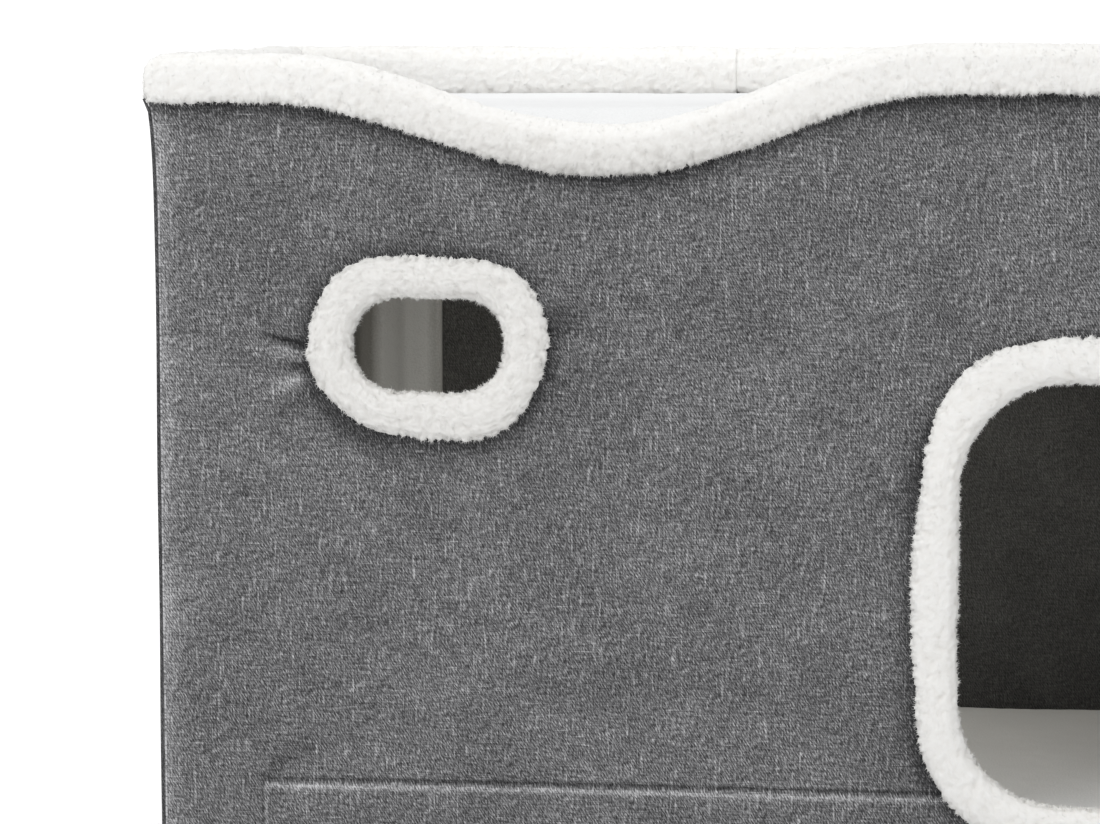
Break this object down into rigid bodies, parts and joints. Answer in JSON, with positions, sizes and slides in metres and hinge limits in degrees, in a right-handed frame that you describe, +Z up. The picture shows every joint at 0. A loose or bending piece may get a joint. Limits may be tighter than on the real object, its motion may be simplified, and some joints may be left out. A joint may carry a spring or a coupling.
{
  "type": "cat house",
  "caption": "Wide boxy fabric cat house with a round-cornered entrance and oval peep windows in the front, and cushioned lounges on lift-out decks under a scooped sherpa rim.",
  "frame": {"origin": "on the floor, under the middle of the house", "axes": "+X to the right of someone who faces the entrance, +Y to the back, +Z up"},
  "size_m": [1.004, 0.404, 0.465],
  "materials": {
    "cover_fabric": "matte",
    "sherpa": "matte",
    "lining": "matte",
    "plush": "matte",
    "piping": "matte",
    "board": "matte",
    "stiffener": "matte"
  },
  "bodies": {
    "house": {"floor_cloth": "lining", "floor_board": "board", "floor_lining": "lining", "front_cover": "cover_fabric", "front_board": "board", "front_lining": "lining", "kick_strip": "stiffener", "back_cover": "cover_fabric", "back_board": "board", "back_lining": "lining", "left_cover": "cover_fabric", "left_board": "board", "left_lining": "lining", "right_cover": "cover_fabric", "right_board": "board", "right_lining": "lining", "front_left_piping": "piping", "front_right_piping": "piping", "back_left_piping": "piping", "back_right_piping": "piping", "rim_front": "sherpa", "rim_back_left": "sherpa", "rim_back_right": "sherpa", "rim_left": "sherpa", "rim_right": "sherpa", "entrance_ring": "sherpa", "left_window_ring": "sherpa", "right_window_ring": "sherpa", "front_left_corner_board": "plush", "front_right_corner_board": "plush", "back_left_corner_board": "plush", "back_right_corner_board": "plush", "front_ledge": "board", "back_ledge": "board", "left_ledge": "board", "right_ledge": "board", "den_cushion": "plush"},
    "left_deck": {"left_deck": "board"},
    "right_deck": {"right_deck": "board"},
    "left_lounge": {"left_lounge_cushion": "plush"},
    "right_lounge": {"right_lounge_cushion": "plush"}
  },
  "joints": [
    {"name": "left_deck_lift", "type": "slide", "parent": "house", "child": "left_deck", "axis": [0, 0, 1], "range_m": [0, 0.12]},
    {"name": "right_deck_lift", "type": "slide", "parent": "house", "child": "right_deck", "axis": [0, 0, 1], "range_m": [0, 0.12]},
    {"name": "left_lounge_lift", "type": "slide", "parent": "left_deck", "child": "left_lounge", "axis": [0, 0, 1], "range_m": [0, 0.12]},
    {"name": "right_lounge_lift", "type": "slide", "parent": "right_deck", "child": "right_lounge", "axis": [0, 0, 1], "range_m": [0, 0.12]}
  ]
}
